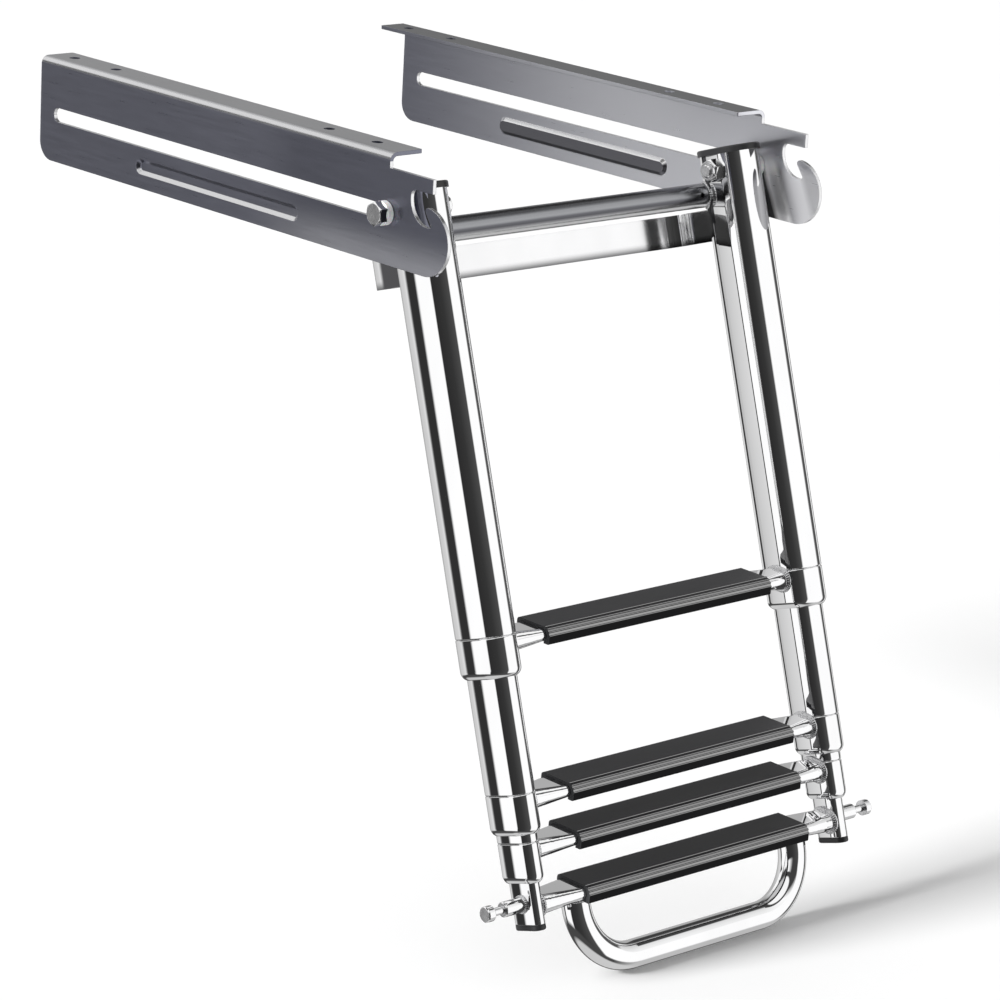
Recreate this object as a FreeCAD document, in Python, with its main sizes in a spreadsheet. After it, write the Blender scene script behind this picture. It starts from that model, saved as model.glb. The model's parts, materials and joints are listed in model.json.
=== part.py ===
import FreeCAD, Part
import math
import os
import Sketcher

# A four-step telescopic boat ladder that slides out on two rails under a swim platform.
# Millimetres. X runs along the treads, +Y to the rear of the rails, +Z up.
# The origin is the middle of the left rail's flange top, the face that meets the platform.

SIZES = [
    # rails
    ("overall_width", 380.0),
    ("sheet_thickness", 3.0),
    ("flange_width", 30.0),
    ("bend_radius", 6.5),
    ("rail_depth", 82.0),
    ("rail_corner", 15.0),
    ("arm_reach", 48.0),
    ("arm_top_drop", 11.0),
    ("arm_bottom_drop", 21.5),
    ("belly_radius", 25.0),
    ("belly_reach", 42.0),
    ("notch_radius", 18.5),
    ("notch_reach", 43.0),
    ("notch_drop", 28.0),
    ("notch_turn", 252.0),
    ("notch_round", 5.0),
    ("hook_root_round", 1.5),
    ("tip_radius", 2.5),
    ("tip_turn", 94.0),
    ("slot_height", 11.5),
    ("slot_spare", 13.0),
    ("slot_end_margin", 18.25),
    ("bead_width", 12.0),
    ("bead_depth", 2.5),
    ("bead_slope", 50.0),
    ("bead_round", 0.8),
    ("bead_from_front", 102.0),
    ("bead_from_rear", 128.0),
    ("bead_drop", 65.0),
    ("hole_radius", 4.25),
    ("hole_inset", 17.0),
    ("front_outer_hole", 35.0),
    ("front_inner_hole", 90.0),
    ("rear_inner_hole", 76.0),
    ("rear_outer_hole", 21.0),
    ("flange_corner", 1.0),
    # pivot
    ("pivot_from_front", 2.0),
    ("pivot_drop", 44.0),
    ("ladder_tilt", 18.0),
    ("bolt_radius", 5.0),
    ("bolt_clearance", 0.1),
    ("bolt_head_flats", 16.0),
    ("bolt_head_height", 6.5),
    ("bolt_bevel", 0.8),
    ("hexagon_slope", 30.0),
    ("hexagon_face", 15.0),
    ("nut_flats", 16.0),
    ("nut_height", 8.0),
    ("nut_collar", 2.0),
    ("nut_collar_inset", 1.0),
    ("bolt_tail", 1.5),
    ("bush_radius", 9.0),
    ("bush_flange", 5.0),
    ("bush_spacer", 11.4),
    ("slide_clearance", 0.3),
    ("pivot_clearance", 0.3),
    # side tubes, breadth along the treads and depth from front to back
    ("upper_breadth", 32.0),
    ("upper_depth", 52.0),
    ("second_breadth", 24.0),
    ("second_depth", 44.0),
    ("third_breadth", 17.0),
    ("third_depth", 37.0),
    ("bottom_breadth", 11.0),
    ("bottom_depth", 28.0),
    ("tube_wall", 1.5),
    ("tube_end_round", 1.0),
    ("upper_rise", 12.0),
    ("second_top_closed", 18.0),
    ("third_top_closed", 25.0),
    ("bottom_top_closed", 32.0),
    # collars
    ("first_collar", 314.0),
    ("collar_height", 31.0),
    ("collar_spigot", 8.0),
    ("collar_round", 7.0),
    ("collar_seam", 1.2),
    ("telescope_clearance", 0.3),
    ("spigot_clearance", 0.1),
    ("collar_gap", 5.0),
    ("rest_extension", 80.0),
    # steps
    ("step_below_collar", 3.0),
    ("last_step_drop", 4.5),
    ("step_forward", 1.0),
    ("step_width", 31.0),
    ("step_thickness", 9.0),
    ("step_end_width", 23.0),
    ("step_end_height", 15.5),
    ("step_end_drop", 3.0),
    ("step_flat_margin", 2.0),
    ("pad_length", 230.0),
    ("pad_top", 2.3),
    ("pad_front", 3.5),
    ("pad_rear", 1.5),
    ("pad_bottom", 1.5),
    ("pad_mouth_front", 13.0),
    ("pad_mouth_rear", 12.0),
    ("pad_clearance", 0.1),
    ("pad_front_round", 1.5),
    ("pad_rear_round", 3.0),
    ("pad_nose_round", 7.0),
    ("rib_radius", 0.7),
    ("rib_first_turn", 8.0),
    ("rib_turn", 24.0),
    # top end of the ladder
    ("cap_lip", 1.5),
    ("cap_height", 5.0),
    ("cap_plug", 5.0),
    ("cap_round", 1.5),
    ("crossbar_radius", 9.5),
    ("crossbar_below", 17.3),
    ("crossbar_behind", 20.0),
    ("crossbar_end_gap", 6.0),
    ("vent_radius", 2.0),
    ("vent_from_middle", 134.5),
    ("strap_below", 28.5),
    ("strap_height", 25.0),
    ("strap_thickness", 3.0),
    ("strap_behind", 71.0),
    ("strap_bend", 14.0),
    # foot
    ("foot_below_step", 17.5),
    ("foot_lip", 4.0),
    ("foot_plug_height", 10.0),
    ("pin_below_step", 1.5),
    ("pin_boss_radius", 5.75),
    ("pin_boss_clearance", 3.5),
    ("pin_neck_radius", 3.0),
    ("pin_neck_clearance", 4.5),
    ("pin_knob_radius", 6.0),
    ("pin_knob_length", 6.0),
    ("pin_bevel", 0.8),
    ("stowed_pin_reach", 40.0),
    ("loop_radius", 11.0),
    ("loop_half_width", 113.0),
    ("loop_bend", 46.0),
    ("loop_below_step", 60.0),
]

doc = FreeCAD.newDocument("telescopic_boat_ladder")
sheet = doc.addObject("Spreadsheet::Sheet", "Sizes")
for row, (alias, number) in enumerate(SIZES, start=1):
    sheet.set("A%d" % row, alias)
    sheet.set("B%d" % row, "%g" % number)
    sheet.setAlias("B%d" % row, alias)
doc.recompute()


class Sizes:
    """The named sizes, read as attributes."""


size = Sizes()
for alias, number in SIZES:
    setattr(size, alias, number)

parts = []


# Pieces and their places

def origin_plane(body, role):
    """The origin plane of a body, by its role."""
    for feature in body.Origin.OriginFeatures:
        if feature.Role == role:
            return feature
    raise ValueError(role)


def new_body(name, on_ladder):
    """A body named after its node, placed with the rails or with the tilted ladder."""
    body = doc.addObject("PartDesign::Body", name)
    body.Label = name
    body.setExpression("Placement.Base.x", "Sizes.overall_width / 2 - Sizes.flange_width / 2")
    body.setExpression("Placement.Base.y", "Sizes.pivot_from_front - %s / 2" % RAIL_LENGTH)
    if on_ladder:
        body.Placement.Rotation = FreeCAD.Rotation(FreeCAD.Vector(-1, 0, 0), size.ladder_tilt)
        body.setExpression("Placement.Base.z", "-Sizes.pivot_drop")
        body.setExpression("Placement.Rotation.Angle", "Sizes.ladder_tilt * 1deg")
    parts.append(body)
    return body


def new_sketch(body, name, role, offset="0"):
    """A sketch on an origin plane of its body, lifted along the plane's normal."""
    sketch = body.newObject("Sketcher::SketchObject", name)
    sketch.AttachmentSupport = [(origin_plane(body, role), "")]
    sketch.MapMode = "FlatFace"
    if offset != "0":
        sketch.setExpression("AttachmentOffset.Base.z", offset)
    return sketch


def along_x(side, near):
    """Where a sketch on the YZ plane starts, for a piece that grows away from the middle."""
    return near if side > 0 else "-" + near


def bind(sketch, kind, refs, number, name, expression):
    """A named dimension in a sketch, tied to the sheet."""
    sketch.addConstraint(Sketcher.Constraint(kind, *refs, number))
    index = sketch.ConstraintCount - 1
    sketch.renameConstraint(index, name)
    sketch.setExpression("Constraints." + name, expression)


def line(ax, ay, bx, by):
    return Part.LineSegment(FreeCAD.Vector(ax, ay, 0), FreeCAD.Vector(bx, by, 0))


def arc(cx, cy, radius, start, end):
    """An arc drawn anticlockwise between two angles in degrees."""
    circle = Part.Circle(FreeCAD.Vector(cx, cy, 0), FreeCAD.Vector(0, 0, 1), radius)
    return Part.ArcOfCircle(circle, math.radians(start), math.radians(end))


def evaluate(expression):
    """The number that an expression over the sheet gives."""
    found = sheet.evalExpression(expression.replace("Sizes.", ""))
    return float(getattr(found, "Value", found))


def obround(sketch, tag, across, along, cx, cy, upright=True):
    """A slot-shaped loop: across is its width and along its full length."""
    width = evaluate(across)
    reach = (evaluate(along) - width) / 2
    x, y = evaluate(cx), evaluate(cy)
    r = width / 2
    base = sketch.GeometryCount
    if upright:
        shapes = [
            line(x + r, y - reach, x + r, y + reach),
            arc(x, y + reach, r, 0, 180),
            line(x - r, y + reach, x - r, y - reach),
            arc(x, y - reach, r, 180, 360),
        ]
    else:
        shapes = [
            line(x + reach, y + r, x - reach, y + r),
            arc(x - reach, y, r, 90, 270),
            line(x - reach, y - r, x + reach, y - r),
            arc(x + reach, y, r, 270, 450),
        ]
    sketch.addGeometry(shapes, False)
    for k in range(4):
        joint = Sketcher.Constraint("Tangent", base + k, 2, base + (k + 1) % 4, 1)
        sketch.addConstraint(joint)
    sketch.addConstraint(Sketcher.Constraint("Equal", base + 1, base + 3))
    bind(sketch, "Radius", (base + 1,), r, tag + "Radius", "(%s) / 2" % across)
    half = "((%s) - (%s)) / 2" % (along, across)
    for k, sign in ((1, "+"), (3, "-")):
        s = reach if sign == "+" else -reach
        if upright:
            spot_x, spot_y = cx, "(%s) %s %s" % (cy, sign, half)
            px, py = x, y + s
        else:
            flip = "-" if sign == "+" else "+"
            spot_x, spot_y = "(%s) %s %s" % (cx, flip, half), cy
            px, py = x - s, y
        bind(sketch, "DistanceX", (-1, 1, base + k, 3), px, "%sAcross%d" % (tag, k), spot_x)
        bind(sketch, "DistanceY", (-1, 1, base + k, 3), py, "%sUp%d" % (tag, k), spot_y)


def circle(sketch, tag, radius, cx, cy):
    """A circle with its radius and centre tied to the sheet."""
    x, y, r = evaluate(cx), evaluate(cy), evaluate(radius)
    base = sketch.GeometryCount
    sketch.addGeometry(Part.Circle(FreeCAD.Vector(x, y, 0), FreeCAD.Vector(0, 0, 1), r), False)
    bind(sketch, "Radius", (base,), r, tag + "Radius", radius)
    bind(sketch, "DistanceX", (-1, 1, base, 3), x, tag + "Across", cx)
    bind(sketch, "DistanceY", (-1, 1, base, 3), y, tag + "Up", cy)


def outline(sketch, tag, points):
    """A closed polygon whose corners are tied to the sheet, given as pairs of expressions."""
    spots = [(evaluate(px), evaluate(py)) for px, py in points]
    base = sketch.GeometryCount
    count = len(spots)
    shapes = []
    for k in range(count):
        ax, ay = spots[k]
        bx, by = spots[(k + 1) % count]
        shapes.append(line(ax, ay, bx, by))
    sketch.addGeometry(shapes, False)
    for k in range(count):
        joint = Sketcher.Constraint("Coincident", base + k, 2, base + (k + 1) % count, 1)
        sketch.addConstraint(joint)
    for k in range(count):
        px, py = points[k]
        ax, ay = spots[k]
        bind(sketch, "DistanceX", (-1, 1, base + k, 1), ax, "%sAcross%d" % (tag, k), px)
        bind(sketch, "DistanceY", (-1, 1, base + k, 1), ay, "%sUp%d" % (tag, k), py)


def regular_hexagon(sketch, tag, flats):
    """A hexagon across flats, centred on the pivot, with its corners up and down."""
    reach = "((%s) / sqrt(3))" % flats
    half = "((%s) / 2)" % flats
    corners = [
        ("0", reach),
        ("-" + half, reach + " / 2"),
        ("-" + half, "-" + reach + " / 2"),
        ("0", "-" + reach),
        (half, "-" + reach + " / 2"),
        (half, reach + " / 2"),
    ]
    outline(sketch, tag, corners)


def pad(body, sketch, name, length, back=False):
    feature = body.newObject("PartDesign::Pad", name)
    feature.Profile = sketch
    feature.Length = evaluate(length)
    feature.setExpression("Length", length)
    feature.Reversed = back
    sketch.Visibility = False
    doc.recompute()
    return feature


def pocket(body, sketch, name, length, back=False):
    """A cut that has to remove something."""
    doc.recompute()
    before = body.Shape.Volume
    feature = body.newObject("PartDesign::Pocket", name)
    feature.Profile = sketch
    feature.Length = evaluate(length)
    feature.setExpression("Length", length)
    feature.Reversed = back
    doc.recompute()
    if body.Shape.Volume > before - 1e-3:
        raise RuntimeError(body.Label + "." + name + " cuts nothing")
    return feature


def through(body, sketch, name):
    """A cut through everything, both ways from its sketch."""
    doc.recompute()
    before = body.Shape.Volume
    feature = body.newObject("PartDesign::Pocket", name)
    feature.Profile = sketch
    feature.Type = 1
    feature.Midplane = True
    doc.recompute()
    if body.Shape.Volume > before - 1e-3:
        raise RuntimeError(body.Label + "." + name + " cuts nothing")
    return feature


def edges_where(shape, test):
    """The names of the edges that pass a test on their own shape."""
    found = []
    for number, edge in enumerate(shape.Edges, start=1):
        if test(edge):
            found.append("Edge%d" % number)
    return found


def round_edges(body, name, radius, test):
    """A fillet on the edges of the body's tip that pass the test."""
    base = body.Tip
    names = edges_where(base.Shape, test)
    if not names:
        raise RuntimeError(body.Label + "." + name + " finds no edge")
    feature = body.newObject("PartDesign::Fillet", name)
    feature.Base = (base, names)
    feature.Radius = evaluate(radius)
    feature.setExpression("Radius", radius)
    doc.recompute()
    return feature


def bevel_edges(body, name, width, test):
    """A chamfer on the edges of the body's tip that pass the test."""
    base = body.Tip
    names = edges_where(base.Shape, test)
    if not names:
        raise RuntimeError(body.Label + "." + name + " finds no edge")
    feature = body.newObject("PartDesign::Chamfer", name)
    feature.Base = (base, names)
    feature.Size = evaluate(width)
    feature.setExpression("Size", width)
    doc.recompute()
    return feature


def level(edge, z, gap=0.01):
    """Whether a whole edge lies at one height of its body."""
    box = edge.BoundBox
    return abs(box.ZMin - z) < gap and abs(box.ZMax - z) < gap


# Places that more than one piece uses

FRONT = "(-Sizes.pivot_from_front)"
WEB_OUT = "(Sizes.overall_width / 2)"
WEB_IN = "(Sizes.overall_width / 2 - Sizes.sheet_thickness)"
SPACER_OUT = "(%s - Sizes.slide_clearance)" % WEB_IN
TUBE_OUT = "(%s - Sizes.bush_spacer - Sizes.pivot_clearance)" % SPACER_OUT
TUBE_IN = "(%s - Sizes.upper_breadth)" % TUBE_OUT
GAUGE = "(%s - Sizes.upper_breadth / 2)" % TUBE_OUT
BUSH_OUT = "(%s + Sizes.slide_clearance + Sizes.bush_flange)" % WEB_OUT
COLLAR_PITCH = "(Sizes.collar_height + Sizes.collar_gap)"
COLLAR_DROPS = [
    "Sizes.first_collar",
    "(Sizes.first_collar + %s + Sizes.rest_extension)" % COLLAR_PITCH,
    "(Sizes.first_collar + 2 * %s + Sizes.rest_extension)" % COLLAR_PITCH,
]
STEP_DROPS = ["(%s + Sizes.step_below_collar)" % drop for drop in COLLAR_DROPS]
STEP_DROPS.append("(%s + %s + Sizes.last_step_drop)" % (STEP_DROPS[2], COLLAR_PITCH))
TUBE_TOPS = [
    "(-Sizes.upper_rise)",
    "(Sizes.second_top_closed + Sizes.rest_extension)",
    "(Sizes.third_top_closed + Sizes.rest_extension)",
    "(Sizes.bottom_top_closed + Sizes.rest_extension)",
]
FOOT_DROP = "(%s + Sizes.foot_below_step)" % STEP_DROPS[3]
PIN_DROP = "(%s + Sizes.pin_below_step)" % STEP_DROPS[3]
BOSS_END = "(%s - Sizes.pin_boss_clearance)" % WEB_IN
NECK_END = "(%s + Sizes.pin_neck_clearance)" % WEB_OUT
KNOB_END = "(%s + Sizes.pin_knob_length)" % NECK_END
SLIDE_TRAVEL = "(%s - Sizes.rest_extension - Sizes.stowed_pin_reach)" % PIN_DROP
SLOT_END = "(%s + Sizes.slot_spare + Sizes.slot_height / 2)" % SLIDE_TRAVEL
REAR = "(%s + Sizes.slot_end_margin)" % SLOT_END
RAIL_LENGTH = "(%s + Sizes.pivot_from_front)" % REAR
SECTIONS = ["upper", "second", "third", "bottom"]
RIB_COUNT = 4


# Rails: bent sheet angles with a hook at the front

def rail(name, side):
    """One rail: flange turned inwards, long slot, pressed bead, arm and hook."""
    body = new_body(name, False)
    sheet_t = "Sizes.sheet_thickness"
    sign = "-" if side < 0 else ""
    profile = new_sketch(body, "FlangeProfile", "XZ_Plane", "(Sizes.pivot_from_front)")
    half = size.overall_width / 2
    t, r = size.sheet_thickness, size.bend_radius
    tip, low = half - size.flange_width, -size.rail_depth / 2
    if side > 0:
        shapes = [
            line(half, low, half, -r),
            arc(half - r, -r, r, 0, 90),
            line(half - r, 0, tip, 0),
            line(tip, 0, tip, -t),
            line(tip, -t, half - r, -t),
            arc(half - r, -r, r - t, 0, 90),
            line(half - t, -r, half - t, low),
            line(half - t, low, half, low),
        ]
        flips = (False, True)
    else:
        shapes = [
            line(-half, low, -half, -r),
            arc(-half + r, -r, r, 90, 180),
            line(-half + r, 0, -tip, 0),
            line(-tip, 0, -tip, -t),
            line(-tip, -t, -half + r, -t),
            arc(-half + r, -r, r - t, 90, 180),
            line(-half + t, -r, -half + t, low),
            line(-half + t, low, -half, low),
        ]
    profile.addGeometry(shapes, False)
    first, last = (1, 2) if side > 0 else (2, 1)
    joints = [
        ("Tangent", 0, 2, 1, first),
        ("Tangent", 1, last, 2, 1),
        ("Coincident", 2, 2, 3, 1),
        ("Coincident", 3, 2, 4, 1),
        ("Tangent", 4, 2, 5, last),
        ("Tangent", 5, first, 6, 1),
        ("Coincident", 6, 2, 7, 1),
        ("Coincident", 7, 2, 0, 1),
        ("Vertical", 0),
        ("Horizontal", 2),
        ("Vertical", 3),
        ("Horizontal", 7),
        ("PointOnObject", 2, 1, -1),
    ]
    for joint in joints:
        profile.addConstraint(Sketcher.Constraint(*joint))
    bind(profile, "DistanceX", (-1, 1, 0, 1), side * half, "Outer", sign + WEB_OUT)
    bind(profile, "DistanceX", (-1, 1, 2, 2), side * tip, "Inner",
         sign + "(%s - Sizes.flange_width)" % WEB_OUT)
    bind(profile, "DistanceY", (-1, 1, 0, 1), low, "Low", "-Sizes.rail_depth / 2")
    bind(profile, "Radius", (1,), r, "Bend", "Sizes.bend_radius")
    bind(profile, "Radius", (5,), r - t, "InnerBend", "Sizes.bend_radius - " + sheet_t)
    pad(body, profile, "Flange", RAIL_LENGTH, back=True)

    start = WEB_IN if side > 0 else "-" + WEB_OUT
    plate = new_sketch(body, "WebOutline", "YZ_Plane", start)
    web_outline(plate)
    pad(body, plate, "Web", sheet_t)
    round_edges(body, "NotchRound", "Sizes.notch_round", crosswise(notch_mouth()))
    round_edges(body, "HookRootRound", "Sizes.hook_root_round", crosswise(hook_root()))

    slot = new_sketch(body, "SlotOutline", "YZ_Plane", start)
    slot_length = "(%s + Sizes.slot_height / 2)" % SLOT_END
    middle = "(%s / 2 - Sizes.slot_height / 4)" % SLOT_END
    obround(slot, "Slot", "Sizes.slot_height", slot_length, middle, "-Sizes.pivot_drop", upright=False)
    through(body, slot, "Slot")

    bead_length = "(%s - %s - Sizes.bead_from_front - Sizes.bead_from_rear)" % (REAR, FRONT)
    bead_middle = "((%s + Sizes.bead_from_front + %s - Sizes.bead_from_rear) / 2)" % (FRONT, REAR)
    bump = new_sketch(body, "BeadOutline", "YZ_Plane", along_x(side, WEB_IN))
    bump_width = "(Sizes.bead_width + Sizes.bead_depth)"
    bump_length = "(%s + Sizes.bead_depth)" % bead_length
    obround(bump, "Bead", bump_width, bump_length, bead_middle, "-Sizes.bead_drop", upright=False)
    raised = pad(body, bump, "Bead", "Sizes.bead_depth", back=side > 0)
    raised.setExpression("TaperAngle", "-Sizes.bead_slope * 1deg")
    doc.recompute()
    hollow = new_sketch(body, "BeadHollowOutline", "YZ_Plane", along_x(side, WEB_OUT))
    obround(hollow, "Hollow", "Sizes.bead_width", bead_length, bead_middle, "-Sizes.bead_drop",
            upright=False)
    sunk = pocket(body, hollow, "BeadHollow", "Sizes.bead_depth", back=side < 0)
    sunk.setExpression("TaperAngle", "-Sizes.bead_slope * 1deg")
    doc.recompute()
    bead_floor = side * (size.overall_width / 2 - size.bead_depth)
    bead_crest = side * (evaluate(WEB_IN) - size.bead_depth)
    for tag, across in (("BeadFloorRound", bead_floor), ("BeadCrestRound", bead_crest)):
        round_edges(body, tag, "Sizes.bead_round", flat_at(across))

    holes = new_sketch(body, "ScrewHoles", "XY_Plane")
    across = sign + "(%s - Sizes.hole_inset)" % WEB_OUT
    for tag, along in hole_places():
        circle(holes, tag, "Sizes.hole_radius", across, along)
    through(body, holes, "ScrewHoles")
    round_edges(body, "FlangeCorners", "Sizes.flange_corner", is_corner)
    return body


def is_corner(edge):
    """Whether an edge is one of the flange's two inner upright corners."""
    box = edge.BoundBox
    upright = box.ZMin > -size.sheet_thickness - 0.01 and box.XLength < 0.01 and box.YLength < 0.01
    return upright and abs(abs(box.XMin) - size.overall_width / 2 + size.flange_width) < 0.01


def flat_at(x):
    """A test for edges that lie in one plane across the treads."""
    return lambda edge: edge.BoundBox.XLength < 0.01 and abs(edge.BoundBox.XMin - x) < 0.01


def crosswise(spot):
    """A test for the edge that crosses the sheet at one place of the web's outline."""
    return lambda edge: (
        edge.BoundBox.YLength < 0.01
        and edge.BoundBox.ZLength < 0.01
        and abs(edge.BoundBox.YMin - spot[0]) < 0.05
        and abs(edge.BoundBox.ZMin - spot[1]) < 0.05
    )


def notch_centre():
    return evaluate(FRONT) - size.notch_reach, -size.notch_drop


def notch_mouth():
    """Where the arm's lower edge meets the round of the notch."""
    y, z = notch_centre()
    rise = -size.arm_bottom_drop - z
    return y + math.sqrt(size.notch_radius ** 2 - rise ** 2), -size.arm_bottom_drop


def hook_root():
    """Where the round of the notch meets the inner side of the hook's finger."""
    y, z = notch_centre()
    turn = math.radians(size.notch_turn)
    return y + size.notch_radius * math.cos(turn), z + size.notch_radius * math.sin(turn)


def hole_places():
    """The four screw holes of a flange, as a tag and a place along the rail."""
    return [
        ("FrontOuter", FRONT + " + Sizes.front_outer_hole"),
        ("FrontInner", FRONT + " + Sizes.front_inner_hole"),
        ("RearInner", REAR + " - Sizes.rear_inner_hole"),
        ("RearOuter", REAR + " - Sizes.rear_outer_hole"),
    ]


def web_outline(sketch):
    """The web's outline: square-nosed arm, hooked notch, round belly and rounded rear corner."""
    front = evaluate(FRONT)
    rear = evaluate(REAR)
    depth = size.rail_depth
    nose = front - size.arm_reach
    arm_top, arm_low = -size.arm_top_drop, -size.arm_bottom_drop
    top = -size.bend_radius
    belly_y, belly_z, belly_r = front - size.belly_reach, -depth + size.belly_radius, size.belly_radius
    notch_y, notch_z = notch_centre()
    notch_r = size.notch_radius
    tip_r = size.tip_radius
    turn = math.radians(size.tip_turn)
    tip_y = belly_y + (belly_r - tip_r) * math.cos(turn)
    tip_z = belly_z + (belly_r - tip_r) * math.sin(turn)
    mouth = math.degrees(math.asin((arm_low - notch_z) / notch_r))
    # the inner side of the finger leaves the notch's foot and touches the round tip
    foot_y, foot_z = hook_root()
    reach = math.hypot(tip_y - foot_y, tip_z - foot_z)
    heading = math.atan2(tip_z - foot_z, tip_y - foot_y)
    swing = math.asin(tip_r / reach)
    side_angle = heading - swing
    run = math.sqrt(reach ** 2 - tip_r ** 2)
    touch_y = foot_y + run * math.cos(side_angle)
    touch_z = foot_z + run * math.sin(side_angle)
    touch_angle = math.degrees(math.atan2(touch_z - tip_z, touch_y - tip_y))
    corner = size.rail_corner
    shapes = [
        line(front, top, front, arm_top),
        line(front, arm_top, nose, arm_top),
        line(nose, arm_top, nose, arm_low),
        line(nose, arm_low, notch_mouth()[0], arm_low),
        arc(notch_y, notch_z, notch_r, size.notch_turn - 360, mouth),
        line(foot_y, foot_z, touch_y, touch_z),
        arc(tip_y, tip_z, tip_r, touch_angle, size.tip_turn),
        arc(belly_y, belly_z, belly_r, size.tip_turn, 270),
        line(belly_y, -depth, rear - corner, -depth),
        arc(rear - corner, -depth + corner, corner, 270, 360),
        line(rear, -depth + corner, rear, top),
        line(rear, top, front, top),
    ]
    sketch.addGeometry(shapes, False)
    joints = [
        ("Coincident", 0, 2, 1, 1),
        ("Coincident", 1, 2, 2, 1),
        ("Coincident", 2, 2, 3, 1),
        ("Coincident", 3, 2, 4, 2),
        ("Coincident", 4, 1, 5, 1),
        ("Tangent", 5, 2, 6, 1),
        ("Tangent", 6, 2, 7, 1),
        ("Tangent", 7, 2, 8, 1),
        ("Tangent", 8, 2, 9, 1),
        ("Tangent", 9, 2, 10, 1),
        ("Coincident", 10, 2, 11, 1),
        ("Coincident", 11, 2, 0, 1),
        ("Vertical", 0),
        ("Horizontal", 1),
        ("Vertical", 2),
        ("Horizontal", 3),
        ("Horizontal", 8),
        ("Vertical", 10),
    ]
    for joint in joints:
        sketch.addConstraint(Sketcher.Constraint(*joint))
    spots = [
        ("Front", 0, 1, FRONT, "-Sizes.bend_radius"),
        ("Nose", 2, 1, FRONT + " - Sizes.arm_reach", "-Sizes.arm_top_drop"),
        ("Notch", 4, 3, FRONT + " - Sizes.notch_reach", "-Sizes.notch_drop"),
        ("Rear", 11, 1, REAR, "-Sizes.bend_radius"),
    ]
    for tag, item, point, across, up in spots:
        where = (-1, 1, item, point)
        bind(sketch, "DistanceX", where, evaluate(across), tag + "Across", across)
        bind(sketch, "DistanceY", where, evaluate(up), tag + "Up", up)
    bind(sketch, "DistanceX", (-1, 1, 7, 3), belly_y, "BellyAcross", FRONT + " - Sizes.belly_reach")
    bind(sketch, "DistanceY", (-1, 1, 8, 1), -depth, "Depth", "-Sizes.rail_depth")
    bind(sketch, "DistanceY", (-1, 1, 3, 1), arm_low, "ArmLow", "-Sizes.arm_bottom_drop")
    root = "-Sizes.notch_drop + Sizes.notch_radius * sin(Sizes.notch_turn * 1deg)"
    bind(sketch, "DistanceY", (-1, 1, 5, 1), foot_z, "RootUp", root)
    tip = "%s - Sizes.belly_reach + (Sizes.belly_radius - Sizes.tip_radius) * cos(Sizes.tip_turn * 1deg)"
    tip = tip % FRONT
    bind(sketch, "DistanceX", (-1, 1, 6, 3), tip_y, "TipAcross", tip)
    bind(sketch, "Radius", (4,), notch_r, "NotchRadius", "Sizes.notch_radius")
    bind(sketch, "Radius", (6,), tip_r, "TipRadius", "Sizes.tip_radius")
    bind(sketch, "Radius", (7,), belly_r, "BellyRadius", "Sizes.belly_radius")
    bind(sketch, "Radius", (9,), corner, "CornerRadius", "Sizes.rail_corner")


# Pivot hardware: bolt, slide bush and locknut on each side

def hinge_body(name):
    """A body whose own origin is the pivot, square to the rails."""
    body = new_body(name, False)
    body.setExpression("Placement.Base.z", "-Sizes.pivot_drop")
    return body


def turned(body, side, tag, radius, near, far):
    """A round length along the pivot's axis."""
    sketch = new_sketch(body, tag + "Outline", "YZ_Plane", along_x(side, near))
    circle(sketch, tag, radius, "0", "0")
    return pad(body, sketch, tag, "(%s) - (%s)" % (far, near), back=side < 0)


def chamfer_hexagon(body, side, flats, face, outward):
    """Turns the corners off one end of a hexagon, as on every real bolt head and nut."""
    x = side * evaluate(face)
    way = side * outward
    flat_radius = size.hexagon_face / 2
    corner = evaluate(flats) / math.sqrt(3) + 1
    drop = (corner - flat_radius) * math.tan(math.radians(size.hexagon_slope))
    sketch = new_sketch(body, "CornerCut", "XY_Plane")
    spots = [(x, flat_radius), (x, corner), (x - way * drop, corner)]
    shapes = []
    for k in range(3):
        shapes.append(line(*spots[k], *spots[(k + 1) % 3]))
    sketch.addGeometry(shapes, False)
    for k in range(3):
        sketch.addConstraint(Sketcher.Constraint("Coincident", k, 2, (k + 1) % 3, 1))
    sketch.addConstraint(Sketcher.Constraint("Vertical", 0))
    sketch.addConstraint(Sketcher.Constraint("Horizontal", 1))
    sign = "-" if side < 0 else ""
    reach = "(%s / sqrt(3) + 1)" % flats
    bind(sketch, "DistanceX", (-1, 1, 0, 1), x, "Face", sign + face)
    bind(sketch, "DistanceY", (-1, 1, 0, 1), flat_radius, "FaceRadius", "Sizes.hexagon_face / 2")
    bind(sketch, "DistanceY", (-1, 1, 0, 2), corner, "Reach", reach)
    slope = "(%s - Sizes.hexagon_face / 2) * tan(Sizes.hexagon_slope * 1deg)" % reach
    back_sign = "-" if way > 0 else "+"
    bind(sketch, "DistanceX", (-1, 1, 2, 1), x - way * drop, "Back",
         "%s%s %s %s" % (sign, face, back_sign, slope))
    before = body.Shape.Volume
    groove = body.newObject("PartDesign::Groove", "Corners")
    groove.Profile = sketch
    groove.ReferenceAxis = (origin_plane(body, "X_Axis"), [""])
    groove.Angle = 360
    doc.recompute()
    if body.Shape.Volume > before - 1e-3:
        raise RuntimeError(body.Label + " keeps its corners")


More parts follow.
